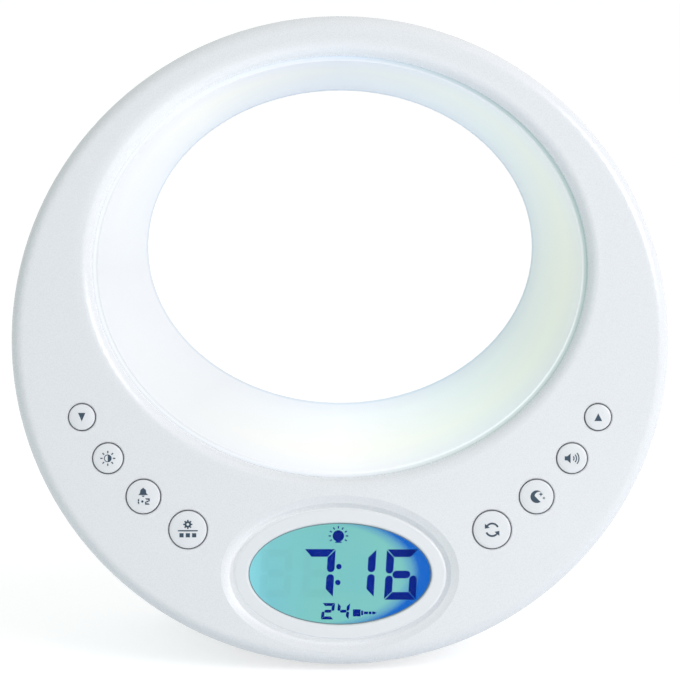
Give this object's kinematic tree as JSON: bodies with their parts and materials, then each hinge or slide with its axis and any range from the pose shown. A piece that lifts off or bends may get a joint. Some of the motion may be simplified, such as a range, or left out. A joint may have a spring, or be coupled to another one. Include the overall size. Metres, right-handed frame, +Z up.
{
  "type": "sunrise alarm clock",
  "caption": "Round bedside wake-up light clock: glossy crescent face around an oval glowing funnel, oval backlit display, push buttons, speaker and battery bay.",
  "frame": {"origin": "on the table under the middle of the clock, at the centre of the bounding box's bottom face", "axes": "+Z up, +X to the sleeper's right as they face the clock, +Y away from the sleeper; the face looks towards -Y and leans back 12 degrees"},
  "size_m": [0.24, 0.0922, 0.2341],
  "materials": {
    "cover_white": "gloss",
    "bezel_white": "gloss",
    "shell_white": "fine texture",
    "opal": "frosted",
    "reflector_white": "gloss",
    "white_board": "satin",
    "led": "clear",
    "clear_lens": "clear",
    "lcd_glass": "gloss",
    "light_guide": "satin",
    "grey_frame": "satin",
    "green_board": "satin",
    "black_parts": "satin",
    "screw_steel": "zinc plated",
    "speaker_steel": "satin",
    "speaker_paper": "matte",
    "ferrite": "matte",
    "socket_black": "satin",
    "cell_jacket": "gloss",
    "contact_steel": "nickel plated",
    "foot_rubber": "matte",
    "lead_jacket": "satin",
    "button_white": "gloss",
    "plunger_grey": "satin"
  },
  "bodies": {
    "housing": {"front_cover": "cover_white", "display_bezel": "bezel_white", "rear_cover": "shell_white", "light_diffuser": "opal", "light_reflector": "reflector_white", "led_board": "white_board", "leds": "led", "display_lens": "clear_lens", "lcd_panel": "lcd_glass", "lcd_backlight": "light_guide", "lcd_holder": "grey_frame", "main_board": "green_board", "socket_board": "green_board", "board_parts": "black_parts", "tact_switches": "black_parts", "board_screws": "screw_steel", "housing_screws": "screw_steel", "speaker_frame": "speaker_steel", "speaker_cone": "speaker_paper", "speaker_magnet": "ferrite", "speaker_grille": "shell_white", "dc_socket": "socket_black", "aux_socket": "socket_black", "backup_cells": "cell_jacket", "battery_contacts": "contact_steel", "rubber_feet": "foot_rubber", "led_lead": "lead_jacket", "speaker_lead": "lead_jacket", "socket_lead": "lead_jacket", "cell_leads": "lead_jacket"},
    "battery_door": {"battery_door": "shell_white"},
    "down_button": {"button_down": "button_white", "plunger_down": "plunger_grey"},
    "light_button": {"button_light": "button_white", "plunger_light": "plunger_grey"},
    "alarm_button": {"button_alarm": "button_white", "plunger_alarm": "plunger_grey"},
    "set_button": {"button_set": "button_white", "plunger_set": "plunger_grey"},
    "up_button": {"button_up": "button_white", "plunger_up": "plunger_grey"},
    "volume_button": {"button_volume": "button_white", "plunger_volume": "plunger_grey"},
    "sleep_button": {"button_sleep": "button_white", "plunger_sleep": "plunger_grey"},
    "mode_button": {"button_mode": "button_white", "plunger_mode": "plunger_grey"}
  },
  "joints": [
    {"name": "down_press", "type": "slide", "parent": "housing", "child": "down_button", "axis": [0, 0.9781, -0.2079], "range_m": [0, 0.001], "stiffness_N_per_m": 1500},
    {"name": "light_press", "type": "slide", "parent": "housing", "child": "light_button", "axis": [0, 0.9781, -0.2079], "range_m": [0, 0.001], "stiffness_N_per_m": 1500},
    {"name": "alarm_press", "type": "slide", "parent": "housing", "child": "alarm_button", "axis": [0, 0.9781, -0.2079], "range_m": [0, 0.001], "stiffness_N_per_m": 1500},
    {"name": "set_press", "type": "slide", "parent": "housing", "child": "set_button", "axis": [0, 0.9781, -0.2079], "range_m": [0, 0.001], "stiffness_N_per_m": 1500},
    {"name": "up_press", "type": "slide", "parent": "housing", "child": "up_button", "axis": [0, 0.9781, -0.2079], "range_m": [0, 0.001], "stiffness_N_per_m": 1500},
    {"name": "volume_press", "type": "slide", "parent": "housing", "child": "volume_button", "axis": [0, 0.9781, -0.2079], "range_m": [0, 0.001], "stiffness_N_per_m": 1500},
    {"name": "sleep_press", "type": "slide", "parent": "housing", "child": "sleep_button", "axis": [0, 0.9781, -0.2079], "range_m": [0, 0.001], "stiffness_N_per_m": 1500},
    {"name": "mode_press", "type": "slide", "parent": "housing", "child": "mode_button", "axis": [0, 0.9781, -0.2079], "range_m": [0, 0.001], "stiffness_N_per_m": 1500},
    {"name": "battery_door_slide", "type": "slide", "parent": "housing", "child": "battery_door", "axis": [0, 1, 0], "range_m": [0, 0.038]}
  ]
}
